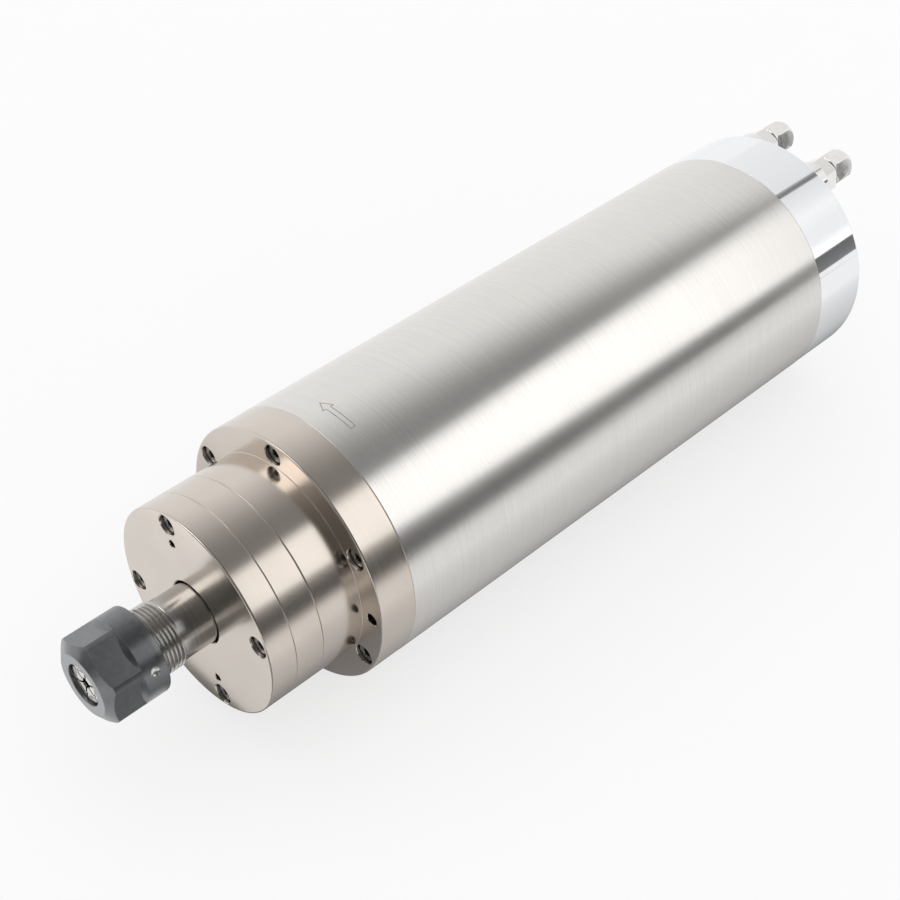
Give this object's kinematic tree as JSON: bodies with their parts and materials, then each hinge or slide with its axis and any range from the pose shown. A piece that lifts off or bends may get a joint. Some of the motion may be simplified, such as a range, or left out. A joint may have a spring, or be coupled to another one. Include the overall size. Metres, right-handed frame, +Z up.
{
  "type": "motor spindle",
  "caption": "Round water-cooled motor spindle with a flanged nose, a collet and clamping nut on the shaft, two hose fittings and a power receptacle on the rear cap.",
  "frame": {"origin": "middle of the ground sleeve's length, on the shaft axis", "axes": "+X along the shaft axis from the nose to the rear cap, +Z up, midway between the two hose fittings, +Y completes the right-handed frame"},
  "size_m": [0.383, 0.1, 0.1],
  "materials": {
    "ground_sleeve": "finely ground stainless steel",
    "nose_steel": "turned, satin nickel tone",
    "polished_cap": "mirror polished and plated",
    "shaft_steel": "ground alloy steel",
    "dark_nut": "black oxide, satin",
    "screw_steel": "black oxide",
    "bearing_steel": "ground bearing steel",
    "inner_alloy": "machined",
    "rotor_alloy": "cast",
    "lamination": "stacked electrical steel",
    "copper": "varnished winding",
    "seal_rubber": "smooth",
    "plated_brass": "nickel plated, polished",
    "bare_brass": "turned",
    "insulator_plastic": "moulded"
  },
  "bodies": {
    "housing": {"outer_sleeve": "ground_sleeve", "water_jacket": "inner_alloy", "front_jacket_seal": "seal_rubber", "rear_jacket_seal": "seal_rubber", "front_housing": "nose_steel", "bearing_clamp_ring": "nose_steel", "nose_cap": "nose_steel", "nose_screws": "screw_steel", "flange_screws": "screw_steel", "front_outer_rings": "bearing_steel", "front_outer_spacer": "bearing_steel", "rear_outer_rings": "bearing_steel", "preload_spring": "bearing_steel", "rear_bearing_housing": "inner_alloy", "rear_housing_screws": "screw_steel", "stator_core": "lamination", "stator_winding": "copper", "rear_cap": "polished_cap", "rear_cap_screws": "screw_steel", "receptacle_shell": "plated_brass", "receptacle_insulator": "insulator_plastic", "contact_pins": "bare_brass", "receptacle_screws": "plated_brass", "left_fitting_body": "plated_brass", "right_fitting_body": "plated_brass"},
    "shaft": {"shaft": "shaft_steel", "front_inner_rings": "bearing_steel", "front_inner_spacer": "bearing_steel", "front_clamp_sleeve": "bearing_steel", "front_lock_nut": "bearing_steel", "rear_inner_rings": "bearing_steel", "rear_lock_nut": "bearing_steel", "rotor_core": "lamination", "rotor_end_rings": "rotor_alloy"},
    "front_balls": {"front_ball_sets": "bearing_steel"},
    "rear_balls": {"rear_ball_sets": "bearing_steel"},
    "collet": {"collet": "shaft_steel"},
    "collet_nut": {"collet_nut": "dark_nut", "extractor_ring": "dark_nut"},
    "left_ferrule": {"left_ferrule": "bare_brass"},
    "left_union_nut": {"left_union_nut": "plated_brass"},
    "right_ferrule": {"right_ferrule": "bare_brass"},
    "right_union_nut": {"right_union_nut": "plated_brass"}
  },
  "joints": [
    {"name": "spindle_spin", "type": "hinge", "parent": "housing", "child": "shaft", "pos_m": [0, 0, 0], "axis": [1, 0, 0], "continuous": true},
    {"name": "front_balls_roll", "type": "hinge", "parent": "housing", "child": "front_balls", "pos_m": [0, 0, 0], "axis": [1, 0, 0], "continuous": true},
    {"name": "rear_balls_roll", "type": "hinge", "parent": "housing", "child": "rear_balls", "pos_m": [0, 0, 0], "axis": [1, 0, 0], "continuous": true},
    {"name": "collet_draw", "type": "slide", "parent": "shaft", "child": "collet", "axis": [-1, 0, 0], "range_m": [0, 0.0121]},
    {"name": "collet_nut_turn", "type": "hinge", "parent": "collet", "child": "collet_nut", "pos_m": [-0.21515, 0, 0], "axis": [-1, 0, 0], "range_deg": [0, 2880]},
    {"name": "left_ferrule_slide", "type": "slide", "parent": "housing", "child": "left_ferrule", "axis": [1, 0, 0], "range_m": [0, 0.0061]},
    {"name": "left_nut_turn", "type": "hinge", "parent": "left_ferrule", "child": "left_union_nut", "pos_m": [0.16785, -0.0151, 0.03833], "axis": [1, 0, 0], "range_deg": [0, 2160]},
    {"name": "right_ferrule_slide", "type": "slide", "parent": "housing", "child": "right_ferrule", "axis": [1, 0, 0], "range_m": [0, 0.0061]},
    {"name": "right_nut_turn", "type": "hinge", "parent": "right_ferrule", "child": "right_union_nut", "pos_m": [0.16785, 0.0151, 0.03833], "axis": [1, 0, 0], "range_deg": [0, 2160]}
  ],
  "couplings": [
    {"joint": "front_balls_roll", "follows": "spindle_spin", "ratio": 0.42},
    {"joint": "rear_balls_roll", "follows": "spindle_spin", "ratio": 0.415},
    {"joint": "collet_draw", "follows": "collet_nut_turn", "m_per_rad": 0.00023873},
    {"joint": "left_ferrule_slide", "follows": "left_nut_turn", "m_per_rad": 0.00015915},
    {"joint": "right_ferrule_slide", "follows": "right_nut_turn", "m_per_rad": 0.00015915}
  ]
}
